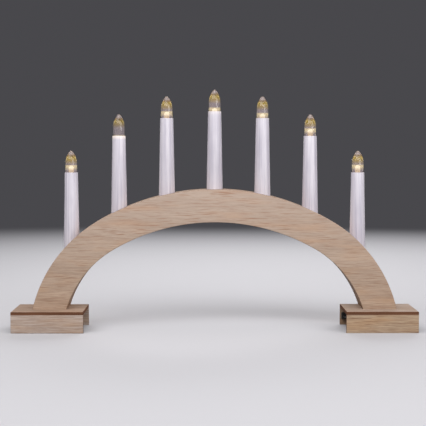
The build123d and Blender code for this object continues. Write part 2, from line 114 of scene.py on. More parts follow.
def stretched_noise(tree, place, per_metre, detail=2.0, roughness=0.5):
    """Noise with its own number of lumps to the metre along each axis."""
    scaled = add_node(tree, "ShaderNodeVectorMath", {0: place, 1: per_metre}, operation="MULTIPLY").outputs[0]
    inputs = {"Vector": scaled, "Scale": 1.0, "Detail": detail, "Roughness": roughness}
    return add_node(tree, "ShaderNodeTexNoise", inputs).outputs[0]


def new_group(name, inputs, outputs):
    """A shader group with named sockets, its given values and its results."""
    group = bpy.data.node_groups.new(name, "ShaderNodeTree")
    for label, kind in inputs.items():
        group.interface.new_socket(label, in_out="INPUT", socket_type=kind)
    for label, kind in outputs.items():
        group.interface.new_socket(label, in_out="OUTPUT", socket_type=kind)
    return group, group.nodes.new("NodeGroupInput").outputs, group.nodes.new("NodeGroupOutput").inputs


def use_group(tree, group, inputs):
    """Place a shader group in a material and return its outputs."""
    return add_node(tree, "ShaderNodeGroup", inputs, node_tree=group).outputs


def new_finish(name, **constants):
    """A material with its shader, whose plain values are set by socket name."""
    finish = bpy.data.materials.new(name)
    finish.use_nodes = True
    shader = finish.node_tree.nodes["Principled BSDF"]
    for label, value in constants.items():
        shader.inputs[label.replace("_", " ")].default_value = value
    return finish, finish.node_tree, shader.inputs


def emboss(tree, shader, height, depth, strength):
    """Give a surface relief from a height between 0 and 1."""
    inputs = {"Height": height, "Distance": depth, "Strength": strength}
    feed(tree, shader["Normal"], add_node(tree, "ShaderNodeBump", inputs).outputs[0])


def dress(finish, *nodes):
    """Put a finish on pieces of the frame."""
    for node in nodes:
        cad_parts[node].material_slots[0].material = finish


COLOUR = "NodeSocketColor"
VALUE = "NodeSocketFloat"
VECTOR = "NodeSocketVector"
noise_middle = 0.5
usual_noise = (0.3, 0.7)
swing = (-0.5, 0.5)
sway_lumps = (5, 24, 24)
sway_width = 7 * millimetre
band_lumps = (7, 80, 80)
band_limits = (0.32, 0.68)
band_share = 0.45
fibre_lumps = (48, 950, 950)
fibre_detail = 4
fibre_roughness = 0.62
fibre_share = 0.8
pore_lumps = (150, 2600, 2600)
pore_limits = (0.58, 0.72)
pore_share = 0.28
pore_depth = 0.5
fleck_lumps = (48, 1450, 1450)
fleck_limits = (0.6, 0.72)
simple_detail = 1
warm_lumps = (16, 110, 110)
warm_limits = (0.5, 0.72)
warm_share = 0.5
middle_tone = 0.5
deep_roughness = 0.68
pale_roughness = 0.52
veneer, given, result = new_group(
    "Pale veneer",
    {"Place": VECTOR, "Pale": COLOUR, "Deep": COLOUR, "Warm": COLOUR, "Fleck": COLOUR, "Figure": VALUE},
    {"Colour": COLOUR, "Height": VALUE, "Roughness": VALUE},
)
sway = work_out(veneer, "SUBTRACT", stretched_noise(veneer, given["Place"], sway_lumps), noise_middle)
sway = work_out(veneer, "MULTIPLY", sway, sway_width)
sway = add_node(veneer, "ShaderNodeCombineXYZ", {1: sway, 2: sway}).outputs[0]
swayed = {0: given["Place"], 1: sway}
fibre_place = add_node(veneer, "ShaderNodeVectorMath", swayed, operation="ADD").outputs[0]
bands = between(veneer, stretched_noise(veneer, fibre_place, band_lumps), *band_limits, *swing)
fibres = stretched_noise(veneer, fibre_place, fibre_lumps, fibre_detail, fibre_roughness)
fibres = between(veneer, fibres, *usual_noise, *swing)
pores = between(veneer, stretched_noise(veneer, fibre_place, pore_lumps, simple_detail), *pore_limits)
flecks = between(veneer, stretched_noise(veneer, fibre_place, fleck_lumps, simple_detail), *fleck_limits)
warmth = between(veneer, stretched_noise(veneer, fibre_place, warm_lumps), *warm_limits)
tone = work_out(veneer, "MULTIPLY_ADD", bands, band_share, middle_tone)
tone = work_out(veneer, "ADD", tone, work_out(veneer, "MULTIPLY", fibres, fibre_share), clamp=True)
colour = mix_colours(veneer, tone, given["Deep"], given["Pale"])
colour = mix_colours(veneer, work_out(veneer, "MULTIPLY", warmth, warm_share), colour, given["Warm"])
colour = mix_colours(veneer, work_out(veneer, "MULTIPLY", pores, pore_share), colour, given["Fleck"])
colour = mix_colours(veneer, work_out(veneer, "MULTIPLY", flecks, given["Figure"]), colour, given["Fleck"])
feed(veneer, result["Colour"], colour)
open_pores = work_out(veneer, "MULTIPLY", pores, pore_depth)
feed(veneer, result["Height"], work_out(veneer, "SUBTRACT", tone, open_pores))
feed(veneer, result["Roughness"], between(veneer, tone, 0, 1, deep_roughness, pale_roughness))

core_light = shade(118, 79, 56)
core_dark = shade(84, 52, 36)
core_limits = (0.32, 0.68)
crumb_lumps = (700, 700, 1400)
crumb_detail = 3
crumb_roughness = 0.7
crumb_share = 0.5
burn_lumps = (30, 30, 300)
burn_share = 0.5
core, given, result = new_group(
    "Sawn fibreboard core",
    {"Place": VECTOR, "Normal": VECTOR, "Across": VECTOR, "Square": VALUE},
    {"Colour": COLOUR, "Height": VALUE, "Edge": VALUE},
)
directions = {0: given["Normal"], 1: given["Across"]}
facing = add_node(core, "ShaderNodeVectorMath", directions, operation="DOT_PRODUCT").outputs["Value"]
facing = work_out(core, "ABSOLUTE", facing)
feed(core, result["Edge"], work_out(core, "LESS_THAN", facing, given["Square"]))
crumbs = stretched_noise(core, given["Place"], crumb_lumps, crumb_detail, crumb_roughness)
crumbs = work_out(core, "MULTIPLY", crumbs, crumb_share)
burns = stretched_noise(core, given["Place"], burn_lumps)
core_tone = work_out(core, "MULTIPLY_ADD", burns, burn_share, crumbs)
core_tone = between(core, core_tone, *core_limits)
feed(core, result["Colour"], mix_colours(core, core_tone, core_dark, core_light))
feed(core, result["Height"], core_tone)

lacquer_shine = 0.35
grain_relief = 0.12 * millimetre
grain_strength = 0.35
board_square = 0.6
top_square = 0.8


def veneered(name, across, shift, wood, square=board_square, shaded_low_wood=None, crown_height=1.0):
    """Veneered board with brown sawn edges, whose pale faces may shift with height towards darker colours low
    down, as painted shade.
    """
    finish, tree, shader = new_finish(name, Specular_IOR_Level=lacquer_shine)
    surface = add_node(tree, "ShaderNodeTexCoord", {}).outputs
    place = moved(tree, surface["Object"], shift)
    # Lower down, the faces shift towards the darker low colours, a painted shade.
    if shaded_low_wood:
        climb = between(tree, part_of(tree, surface["Object"], "Z"), 0.0, crown_height)
        changing = {label: mix_colours(tree, climb, shaded_low_wood[label], wood[label]) for label in shaded_low_wood}
        wood = {**wood, **changing}
    face = use_group(tree, veneer, {"Place": place, **wood})
    sawn = {"Place": place, "Normal": surface["Normal"], "Across": across, "Square": square}
    edge = use_group(tree, core, sawn)
    feed(tree, shader["Base Color"], mix_colours(tree, edge["Edge"], face["Colour"], edge["Colour"]))
    feed(tree, shader["Roughness"], work_out(tree, "MAXIMUM", face["Roughness"], edge["Edge"]))
    height = work_out(tree, "ADD", face["Height"], edge["Height"])
    emboss(tree, shader, height, grain_relief, grain_strength)
    return finish


along_y = (0, 1, 0)
along_z = (0, 0, 1)
board_shift = 0.37
foot_woods = {
    "left": {
        "Pale": shade(198, 180, 169),
        "Deep": shade(146, 124, 110),
        "Warm": shade(186, 150, 120),
        "Fleck": shade(136, 100, 74),
        "Figure": 0.7,
    },
    "right": {
        "Pale": shade(188, 163, 138),
        "Deep": shade(134, 107, 84),
        "Warm": shade(180, 140, 102),
        "Fleck": shade(112, 76, 50),
        "Figure": 0.95,
    },
}
# The top boards get colours of their own, which are painted light and shade of the upward faces.
top_light_and_shade = {
    "left": {"Pale": shade(192, 166, 149), "Deep": shade(154, 129, 111), "Warm": shade(180, 145, 117)},
    "right": {"Pale": shade(197, 176, 162), "Deep": shade(160, 137, 121), "Warm": shade(182, 151, 127)},
}
for number, (side, wood) in enumerate(foot_woods.items(), start=1):
    shift = number * board_shift
    painted_top_wood = {**wood, **top_light_and_shade[side]}
    dress(veneered(f"{side} foot top", along_z, (shift, 0, 0), painted_top_wood, top_square), f"{side}_foot_top")
    dress(veneered(f"{side} foot front", along_y, (0, 0, shift), wood), f"{side}_foot_front")
    dress(veneered(f"{side} foot rear", along_y, (shift, 0, shift), wood), f"{side}_foot_rear")

# Leg blocks and candle seats: plain softwood, sawn and drilled.
# They are glued inside the arch, where the blocks take the foot screws and the wedges level the candles.
candle_numbers = range(1, 8)
softwood_shine = 0.25
saw_relief = 0.2 * millimetre
saw_strength = 0.5
softwood = {
    "Pale": shade(214, 184, 140),
    "Deep": shade(186, 146, 98),
    "Warm": shade(206, 160, 104),
    "Fleck": shade(150, 106, 66),
    "Figure": 0.8,
}


def own_place(tree):
    """Where a point of the surface lies, in metres."""
    return add_node(tree, "ShaderNodeTexCoord", {}).outputs["Object"]


def show_grain(tree, shader, place, wood, relief, strength):
    """Give a surface the colour, roughness and relief of a wood."""
    face = use_group(tree, veneer, {"Place": place, **wood})
    feed(tree, shader["Base Color"], face["Colour"])
    feed(tree, shader["Roughness"], face["Roughness"])
    emboss(tree, shader, face["Height"], relief, strength)


finish, tree, shader = new_finish("sawn softwood", Specular_IOR_Level=softwood_shine)
show_grain(tree, shader, own_place(tree), softwood, saw_relief, saw_strength)
dress(finish, "leg_block_left", "leg_block_right", *[f"candle_seat_{number}" for number in candle_numbers])

# Arch: a front and a rear panel sawn from the same veneered board as the feet.
# Between them a bent strip closes the top and another closes the underside. All four are glued.
arch_wood = {
    "Pale": shade(200, 179, 164),
    "Deep": shade(181, 158, 143),
    "Warm": shade(198, 161, 136),
    "Fleck": shade(160, 114, 86),
    "Figure": 0.75,
}
# The panels turn darker and warmer towards their feet: painted shade of light that falls off lower down.
shaded_leg_wood = {
    "Pale": shade(184, 158, 136),
    "Deep": shade(140, 115, 95),
    "Warm": shade(176, 140, 107),
    "Fleck": shade(118, 80, 56),
}
panel_shifts = {"front": (0, 0, 0), "rear": (0.8, 0.3, 0.1)}
crown_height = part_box("arch_front_panel")[1].z
for side, shift in panel_shifts.items():
    panel = veneered(f"arch {side}", along_y, shift, arch_wood, board_square, shaded_leg_wood, crown_height)
    dress(panel, f"arch_{side}_panel")

bend_radius = 231.93 * millimetre
bend_centre_depth = 91.93 * millimetre
strip_shine = 0.3
strip_wood = {
    "Pale": shade(196, 174, 156),
    "Deep": shade(168, 143, 124),
    "Warm": shade(186, 152, 126),
    "Fleck": shade(150, 108, 80),
    "Figure": 0.6,
}
strip_shift = (0.2, 0.1, 0)
# The underside strip is coloured darker than the other wood: painted shade under the arch.
shaded_soffit_wood = {
    "Pale": shade(152, 122, 98),
    "Deep": shade(122, 94, 72),
    "Warm": shade(138, 102, 76),
    "Fleck": shade(98, 68, 46),
    "Figure": 0.6,
}
soffit_shift = (0.6, 0.4, 0)


def round_the_bend(tree, place):
    """Place measured along the bent strip and across it, round the centre of its bend below the table."""
    parts = add_node(tree, "ShaderNodeSeparateXYZ", {0: place}).outputs
    rise = work_out(tree, "ADD", parts["Z"], bend_centre_depth)
    turn = work_out(tree, "ARCTAN2", parts["X"], rise)
    along = work_out(tree, "MULTIPLY", turn, bend_radius)
    return add_node(tree, "ShaderNodeCombineXYZ", {0: along, 1: parts["Y"]}).outputs[0]


def bent_ply(name, shift, wood):
    """Bent strip: veneer that follows the curve."""
    finish, tree, shader = new_finish(name, Specular_IOR_Level=strip_shine)
    place = moved(tree, round_the_bend(tree, own_place(tree)), shift)
    show_grain(tree, shader, place, wood, grain_relief, grain_strength)
    return finish


dress(bent_ply("arch top", strip_shift, strip_wood), "arch_top_strip")
# The underside's darker wood is painted shade.
dress(bent_ply("arch underside", soffit_shift, shaded_soffit_wood), "arch_soffit_strip")

# Candle tubes: white moulded plastic that tapers upwards, hollow, with a bore in the top.
# Each is pushed down through the top strip and glued to its level seat.
ring_points = 72
merge_gap = 0.01 * millimetre
corner_steps = 2
sharp_corner = math.radians(35)
tube_rim_radius = 6.55 * millimetre
tube_bore_radius = 5.85 * millimetre
tube_bore_depth = 14 * millimetre
tube_ledge = 0.85 * millimetre
tube_ledge_height = 1.5 * millimetre
tube_base_wall = 1 * millimetre
tube_corner = 0.25 * millimetre


def turned(name, outline):
    """A round piece on an upright axis, drawn ring by ring along its radii and heights."""
    bpy.ops.object.select_all(action="DESELECT")
    radius, height = outline[0]
    bpy.ops.mesh.primitive_circle_add(vertices=ring_points, radius=radius, location=(0, 0, height))
    piece = bpy.context.object
    piece.name = name
    bpy.ops.object.transform_apply(location=True)
    bpy.ops.object.mode_set(mode="EDIT")
    bpy.ops.mesh.select_all(action="SELECT")
    for next_radius, next_height in outline[1:]:
        rise = {"value": (0, 0, next_height - height)}
        bpy.ops.mesh.extrude_edges_move(TRANSFORM_OT_translate=rise)
        share = next_radius / radius
        bpy.ops.transform.resize(value=(share, share, 1), center_override=(0, 0, next_height))
        radius, height = next_radius, next_height
    bpy.ops.mesh.select_all(action="SELECT")
    bpy.ops.mesh.remove_doubles(threshold=merge_gap)
    bpy.ops.mesh.fill_holes(sides=0)
    bpy.ops.mesh.normals_make_consistent(inside=False)
    bpy.ops.object.mode_set(mode="OBJECT")
    return piece


def soften(piece, width):
    """Round a piece's sharp corners and smooth the rest."""
    bevel = piece.modifiers.new("corners", "BEVEL")
    bevel.width = width
    bevel.segments = corner_steps
    bevel.limit_method = "ANGLE"
    bevel.angle_limit = sharp_corner
    bpy.context.view_layer.objects.active = piece
    piece.select_set(True)
    bpy.ops.object.modifier_apply(modifier=bevel.name)
    bpy.ops.object.shade_smooth_by_angle(angle=sharp_corner)


def stand_copies(pattern, kind, finishes):
    """Stand a copy of a turned piece in the place of each like node of the frame, in its own finish."""
    foot = min(vertex.co.z for vertex in pattern.data.vertices)
    for number, finish in zip(candle_numbers, finishes):
        low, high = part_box(f"{kind}_{number}")
        piece = pattern.copy()
        piece.data = pattern.data.copy()
        piece.name = f"{pattern.name}_{number}"
        bpy.context.collection.objects.link(piece)
        middle = (low + high) / 2
        piece.data.transform(Matrix.Translation((middle.x, middle.y, low.z - foot)))
        piece.data.materials.append(finish)
        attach(piece, "arch")
        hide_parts(f"{kind}_{number}")
    bpy.data.objects.remove(pattern)


tube_low, tube_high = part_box("candle_tube_4")
tube_length = tube_high.z - tube_low.z
tube_base_radius = (tube_high.x - tube_low.x) / 2
ledge_height = tube_length - tube_bore_depth
ledge_radius = tube_bore_radius - tube_ledge
tube = turned(
    "tapered_tube",
    [
        (tube_base_radius - tube_base_wall, 0),
        (tube_base_radius, 0),
        (tube_rim_radius, tube_length),
        (tube_bore_radius, tube_length),
        (tube_bore_radius, ledge_height),
        (ledge_radius, ledge_height),
        (ledge_radius, ledge_height - tube_ledge_height),
        (tube_base_radius - tube_base_wall, 0),
    ],
)
soften(tube, tube_corner)
plastic_bending = 1.49
tube_dark = shade(190, 184, 198)
tube_light = shade(232, 226, 234)
tube_limits = (0.35, 0.65)
tube_smooth = 0.26
tube_rough = 0.4
line_lumps = (600, 600, 3)
line_detail = 3
line_roughness = 0.6
line_share = 0.7
line_relief = 0.05 * millimetre
line_strength = 0.12
cloud_lumps = (60, 60, 25)
cloud_share = 0.3
unlit = shade(0, 0, 0)
# The tube's rim gets a painted glow of the diode's light, strongest where the dome stands low near the rim.
painted_rim_glow = shade(255, 228, 178)
painted_rim_glow_strength = 0.45
painted_rim_glow_depth = 4 * millimetre
painted_rim_glow_reach = 5 * millimetre


def tube_plastic(number):
    """White plastic with fine drawn lines, and a painted glow of the diode's light at its rim, strongest
    where the dome lies low near it.
    """
    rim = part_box(f"candle_tube_{number}")[1].z
    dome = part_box(f"led_{number}")[1].z
    glow = painted_rim_glow_strength * max(0.0, 1 - (dome - rim) / painted_rim_glow_reach)
    finish, tree, shader = new_finish(
        f"white candle plastic {number}", Specular_IOR_Level=0.5, IOR=plastic_bending, Emission_Strength=glow
    )
    place = own_place(tree)
    drawn_lines = stretched_noise(tree, place, line_lumps, line_detail, line_roughness)
    clouds = stretched_noise(tree, place, cloud_lumps)
    tint = work_out(tree, "MULTIPLY", drawn_lines, line_share)
    tint = work_out(tree, "MULTIPLY_ADD", clouds, cloud_share, tint)
    tint = between(tree, tint, *tube_limits)
    feed(tree, shader["Base Color"], mix_colours(tree, tint, tube_dark, tube_light))
    feed(tree, shader["Roughness"], between(tree, drawn_lines, *usual_noise, tube_smooth, tube_rough))
    emboss(tree, shader, drawn_lines, line_relief, line_strength)
    # Painted glow of the diode's light in the top of the tube below its rim.
    near_rim = between(tree, part_of(tree, place, "Z"), rim - painted_rim_glow_depth, rim)
    feed(tree, shader["Emission Color"], mix_colours(tree, near_rim, unlit, painted_rim_glow))
    return finish


stand_copies(tube, "candle_tube", [tube_plastic(number) for number in candle_numbers])

# Diode holders: white moulded plugs with two holes for a diode's leads.
# Each rests on the ledge in its candle, held down by the tip.
pimple_lumps = (1500, 1500, 1500)
pimple_relief = 0.05 * millimetre
pimple_strength = 0.3
plug_dark = shade(216, 212, 204)
plug_light = shade(236, 233, 226)


def mottle(tree, shader, noise, dark, light, smooth, rough):
    """Let the colour and the roughness of a finish follow a noise."""
    feed(tree, shader["Base Color"], mix_colours(tree, noise, dark, light))
    feed(tree, shader["Roughness"], between(tree, noise, *usual_noise, smooth, rough))


finish, tree, shader = new_finish("white plug plastic")
pimples = stretched_noise(tree, own_place(tree), pimple_lumps)
mottle(tree, shader, pimples, plug_dark, plug_light, smooth=0.4, rough=0.6)
emboss(tree, shader, pimples, pimple_relief, pimple_strength)
dress(finish, *[f"led_holder_{number}" for number in candle_numbers])

# Diodes: domed bodies of clear epoxy with a flange, lit warm white, on two leads soldered by hand.
# Hand soldering left each at its own height, so some domes stand higher in their tips than others.
led_body = 8.6 * millimetre
led_epoxy = shade(130, 118, 92)
led_glow_low = shade(206, 180, 130)
led_glow_high = shade(255, 246, 214)
led_glow_rise = (0.45, 0.7)
lead_tin = shade(150, 150, 148)
# The leads get a faint painted glow.
painted_lead_glow = shade(20, 18, 15)
lead_fade = (0.0, 0.12)
for number in candle_numbers:
    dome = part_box(f"led_{number}")[1].z
    finish, tree, shader = new_finish(f"lit diode {number}", Roughness=0.25, Emission_Strength=1.0)
    climb = between(tree, part_of(tree, own_place(tree), "Z"), dome - led_body, dome)
    glow = mix_colours(tree, between(tree, climb, *led_glow_rise), led_glow_low, led_glow_high)
    lit = between(tree, climb, *lead_fade)
    feed(tree, shader["Emission Color"], mix_colours(tree, lit, painted_lead_glow, glow))
    feed(tree, shader["Base Color"], mix_colours(tree, lit, lead_tin, led_epoxy))
    dress(finish, f"led_{number}")

# Tips: clear polished plastic in the shape of a flame, hollow round the diode and solid at the point.
# Each is pushed into the bore of its candle and stands on the holder.
tip_low, tip_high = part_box("candle_tip_4")
tip_radius = (tip_high.x - tip_low.x) / 2
tip_skirt = 8 * millimetre
tip_straight = 9 * millimetre
tip_point_radius = 1.8 * millimetre
tip_wall = 1.5 * millimetre
tip_solid = 5 * millimetre
tip_hollow_straight = 7 * millimetre
tip_hollow_point_radius = 0.8 * millimetre
tip_corner = 0.15 * millimetre
tip_arc_steps = 14
tip_point_steps = 5
sharp_end = 0.02 * millimetre


def flame(radius, straight, height, point_radius):
    """Radii and heights of a straight side that an arc narrows to a small round point."""
    rise = height - straight - point_radius
    arc_radius = (radius**2 + rise**2 - point_radius**2) / (2 * (radius - point_radius))
    lean = math.atan2(rise, arc_radius - radius)
    centre = radius - arc_radius
    arc = [lean * step / tip_arc_steps for step in range(tip_arc_steps + 1)]
    side = [(centre + arc_radius * math.cos(a), straight + arc_radius * math.sin(a)) for a in arc]
    left = math.pi / 2 - lean
    bend = [lean + left * step / tip_point_steps for step in range(1, tip_point_steps)]
    point = [(point_radius * math.cos(a), straight + rise + point_radius * math.sin(a)) for a in bend]
    return side + point + [(sharp_end, height)]


def measure_along(piece):
    """Give a turned piece a map of the share of a turn and of its height."""
    heights = [vertex.co.z for vertex in piece.data.vertices]
    low, high = min(heights), max(heights)
    lengths = piece.data.uv_layers.new(name="Along")
    for loop in piece.data.loops:
        spot = piece.data.vertices[loop.vertex_index].co
        turn = math.atan2(spot.y, spot.x) / math.tau + 0.5
        lengths.data[loop.index].uv = (turn, (spot.z - low) / (high - low))


tip_height = tip_high.z - tip_low.z - tip_skirt
outside = flame(tip_radius, tip_straight, tip_height, tip_point_radius)
hollow_radius = tip_radius - tip_wall
inside = flame(hollow_radius, tip_hollow_straight, tip_height - tip_solid, tip_hollow_point_radius)
tip = turned("flame_tip", inside[::-1] + [(hollow_radius, -tip_skirt), (tip_radius, -tip_skirt)] + outside)
soften(tip, tip_corner)
measure_along(tip)
tip_clearness = 0.86
tip_smooth = 0.03
tip_rough = 0.08
tip_dark = shade(236, 228, 233)
tip_light = shade(246, 240, 244)
flow_lumps = (500, 500, 120)
milk = shade(224, 213, 218)
milk_rise = (0.74, 0.86)
milk_roughness = 0.4
# The shoulders' yellow colour is painted light of the diode in the clear plastic.
painted_gold_light = shade(204, 184, 124)
shoulder_rise = (0.54, 0.74)
shoulder_fall = (0.87, 0.8)
# A painted shade band where the hollow ends inside the clear point.
painted_hollow_shade = shade(148, 124, 104)
hollow_rise = (0.78, 0.82)
hollow_fall = (0.89, 0.85)
# Painted glow of the diode's light in the clear tip: a ring beside the dome, yellow in the shoulders and a
# faint veil elsewhere, weaker where the dome sits low in the tube.
ring_below = 5 * millimetre
ring_above = 0.7 * millimetre
painted_ring_glow = shade(238, 216, 148)
painted_shoulder_glow = shade(196, 168, 80)
painted_veil_glow = shade(98, 84, 86)
painted_tip_glow = 0.17
glow_at_rim = 0.5
full_glow_lift = 5 * millimetre


def clear_tip(number):
    """Slightly milky plastic with a painted glow of its diode's light: a ring beside the dome, a faint veil
    elsewhere and yellow light in the shoulders, with painted shade where the hollow ends.
    """
    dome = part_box(f"led_{number}")[1].z
    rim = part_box(f"candle_tube_{number}")[1].z
    strength = painted_tip_glow * min(1.0, glow_at_rim + (dome - rim) / full_glow_lift)
    finish, tree, shader = new_finish(
        f"clear tip plastic {number}",
        IOR=plastic_bending,
        Transmission_Weight=tip_clearness,
        Emission_Strength=strength,
    )
    climb = part_of(tree, add_node(tree, "ShaderNodeUVMap", {}, uv_map="Along").outputs[0], "Y")
    place = own_place(tree)
    height = part_of(tree, place, "Z")
    flow = stretched_noise(tree, place, flow_lumps)
    milky = between(tree, climb, *milk_rise)
    polish = between(tree, flow, *usual_noise, tip_smooth, tip_rough)
    dull = work_out(tree, "MULTIPLY", milky, milk_roughness)
    feed(tree, shader["Roughness"], work_out(tree, "ADD", polish, dull))
    ring = between(tree, height, dome - ring_below, dome - ring_below / 3)
    ring = work_out(tree, "MULTIPLY", ring, between(tree, height, dome + ring_above, dome))
    painted_glow_shoulder = between(tree, climb, *shoulder_rise)
    painted_glow_shoulder = work_out(tree, "MULTIPLY", painted_glow_shoulder, between(tree, climb, *shoulder_fall))
    # Painted shade where the hollow ends.
    hollow_end_shade = between(tree, climb, *hollow_rise)
    hollow_end_shade = work_out(tree, "MULTIPLY", hollow_end_shade, between(tree, climb, *hollow_fall))
    # Painted glow: the ring and the shoulders over a faint veil.
    glow = mix_colours(tree, ring, painted_veil_glow, painted_ring_glow)
    feed(tree, shader["Emission Color"], mix_colours(tree, painted_glow_shoulder, glow, painted_shoulder_glow))
    clear = mix_colours(tree, flow, tip_dark, tip_light)
    clouded = mix_colours(tree, milky, clear, milk)
    # Painted light: the shoulders take the diode's yellow.
    painted_gold_tint = mix_colours(tree, painted_glow_shoulder, clouded, painted_gold_light)
    feed(tree, shader["Base Color"], mix_colours(tree, hollow_end_shade, painted_gold_tint, painted_hollow_shade))
    return finish


stand_copies(tip, "candle_tip", [clear_tip(number) for number in candle_numbers])

# Foot screws: four steel wood screws with countersunk, cross-recessed heads, plated with zinc.
# Two go up through each foot's top board into the leg block, their heads flush with its underside.
screw_low, screw_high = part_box("leg_screws")
screw_length = screw_high.z - screw_low.z
screw_head_radius = (screw_high.y - screw_low.y) / 2
screw_shank_radius = 1.75 * millimetre
screw_root_radius = 1.3 * millimetre
screw_thread_start = 5 * millimetre
screw_thread_pitch = 1.3 * millimetre
screw_threads = 8
screw_spacing = 12 * millimetre
recess_width = 3.8 * millimetre
recess_slot = 0.85 * millimetre
recess_depth = 1.8 * millimetre
recess_floor_share = 0.35


def cross_recess(screw):
    """Cut a cross with sloping arms into the head of a screw that points up."""
    for turn in (0, math.pi / 2):
        bpy.ops.object.select_all(action="DESELECT")
        bpy.ops.mesh.primitive_cube_add(size=1, rotation=(0, 0, turn))
        blade = bpy.context.object
        blade.scale = (recess_width, recess_slot, 2 * recess_depth)
        bpy.ops.object.transform_apply(location=True, rotation=True, scale=True)
        bpy.ops.object.mode_set(mode="EDIT")
        bpy.ops.mesh.select_all(action="DESELECT")
        bpy.ops.object.mode_set(mode="OBJECT")
        for corner in blade.data.vertices:
            corner.select = corner.co.z > 0
        bpy.ops.object.mode_set(mode="EDIT")
        taper = (recess_floor_share, recess_floor_share, 1)
        bpy.ops.transform.resize(value=taper, center_override=(0, 0, recess_depth))
        bpy.ops.object.mode_set(mode="OBJECT")
        cut = screw.modifiers.new("recess", "BOOLEAN")
        cut.operation = "DIFFERENCE"
        cut.object = blade
        bpy.context.view_layer.objects.active = screw
        bpy.ops.object.modifier_apply(modifier=cut.name)
        bpy.data.objects.remove(blade)


head_height = screw_head_radius - screw_shank_radius
outline = [
    (screw_head_radius, 0),
    (screw_shank_radius, head_height),
    (screw_shank_radius, screw_thread_start),
]
for number in range(screw_threads):
    start = screw_thread_start + number * screw_thread_pitch
    outline.append((screw_root_radius, start + screw_thread_pitch / 3))
    outline.append((screw_root_radius, start + screw_thread_pitch * 2 / 3))
    outline.append((screw_shank_radius, start + screw_thread_pitch))
screw = turned("foot_screws", outline + [(sharp_end, screw_length)])
cross_recess(screw)
bpy.ops.object.select_all(action="DESELECT")
screw.select_set(True)
bpy.ops.object.shade_smooth_by_angle(angle=sharp_corner)
outermost = screw_high.x - screw_head_radius
across = (screw_low.y + screw_high.y) / 2
copies = []
for along in (-outermost, screw_spacing - outermost, outermost - screw_spacing, outermost):
    copy = screw.copy()
    copy.data = screw.data.copy()
    copy.data.transform(Matrix.Translation((along, across, screw_low.z)))
    bpy.context.collection.objects.link(copy)
    copies.append(copy)
bpy.data.objects.remove(screw)
bpy.ops.object.select_all(action="DESELECT")
for copy in copies:
    copy.select_set(True)
bpy.context.view_layer.objects.active = copies[0]
bpy.ops.object.join()
screws = bpy.context.object
screws.name = "foot_screws"
spangle_lumps = (900, 900, 900)
spangle_detail = 3
zinc_dark = shade(168, 168, 162)
zinc_light = shade(206, 206, 200)
finish, tree, shader = new_finish("zinc plate", Metallic=1.0)
spangle = stretched_noise(tree, own_place(tree), spangle_lumps, spangle_detail)
mottle(tree, shader, spangle, zinc_dark, zinc_light, smooth=0.25, rough=0.45)
screws.data.materials.append(finish)
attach(screws, "arch")
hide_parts("leg_screws")

# Battery box and its sliding cover: black moulded plastic with a fine sparked texture.
# The box is glued under the right foot's top board, and the cover slides in grooves along its open side.
spark_lumps = (2200, 2200, 2200)
spark_detail = 2
spark_roughness = 0.6
spark_relief = 0.05 * millimetre
spark_strength = 0.4
moulded_smooth = 0.42
moulded_rough = 0.62
box_light = shade(44, 44, 46)
box_dark = shade(24, 24, 26)
moulded, given, result = new_group(
    "Moulded texture", {"Place": VECTOR}, {"Height": VALUE, "Roughness": VALUE}
)
spark = stretched_noise(moulded, given["Place"], spark_lumps, spark_detail, spark_roughness)
feed(moulded, result["Height"], spark)
feed(moulded, result["Roughness"], between(moulded, spark, *usual_noise, moulded_smooth, moulded_rough))


def moulding(name, light, dark, embossed=True):
    """Plastic with a fine sparked texture, or a soft one that is coloured the same way but not embossed."""
    finish, tree, shader = new_finish(name)
    texture = use_group(tree, moulded, {"Place": own_place(tree)})
    feed(tree, shader["Base Color"], mix_colours(tree, texture["Height"], dark, light))
    feed(tree, shader["Roughness"], texture["Roughness"])
    if embossed:
        emboss(tree, shader, texture["Height"], spark_relief, spark_strength)
    return finish


dress(moulding("battery box black", box_light, box_dark), "battery_box", "battery_cover")

# Cells and contacts: two AA cells, steel cans in plain slate-coloured sleeves that leave the ends bare.
# They lie head to tail between leaves of nickel-plated spring steel, pushed into slots of the box.
cell_low, cell_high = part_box("aa_cells")
bare_end = 1.8 * millimetre
sleeve_lip = 0.1 * millimetre
sleeve_start = cell_low.x + bare_end
sleeve_stop = cell_high.x - bare_end
sleeve_dark = shade(70, 84, 96)
sleeve_light = shade(92, 106, 118)
sleeve_metal = 0.2
can_dark = shade(172, 172, 170)
can_light = shade(206, 206, 204)
can_metal = 1.0
can_smooth = 0.25
can_rough = 0.4
smudge_lumps = (120, 120, 120)
smudge_detail = 3
finish, tree, shader = new_finish("cell sleeve and can")
place = own_place(tree)
along = part_of(tree, place, "X")
smudge = stretched_noise(tree, place, smudge_lumps, smudge_detail)
sleeve = between(tree, along, sleeve_start - sleeve_lip, sleeve_start)
sleeve = work_out(tree, "MULTIPLY", sleeve, between(tree, along, sleeve_stop + sleeve_lip, sleeve_stop))
sleeve_colour = mix_colours(tree, smudge, sleeve_dark, sleeve_light)
can_colour = mix_colours(tree, smudge, can_dark, can_light)
feed(tree, shader["Base Color"], mix_colours(tree, sleeve, can_colour, sleeve_colour))
feed(tree, shader["Metallic"], between(tree, sleeve, 0, 1, can_metal, sleeve_metal))
feed(tree, shader["Roughness"], between(tree, smudge, *usual_noise, can_smooth, can_rough))
dress(finish, "aa_cells")

brush_lumps = (200, 2500, 2500)
nickel_dark = shade(176, 172, 162)
nickel_light = shade(208, 204, 194)
finish, tree, shader = new_finish("nickel plate", Metallic=1.0)
brushed = stretched_noise(tree, own_place(tree), brush_lumps)
mottle(tree, shader, brushed, nickel_dark, nickel_light, smooth=0.22, rough=0.4)
dress(finish, "contact_positive", "contact_negative", "contact_bridge")

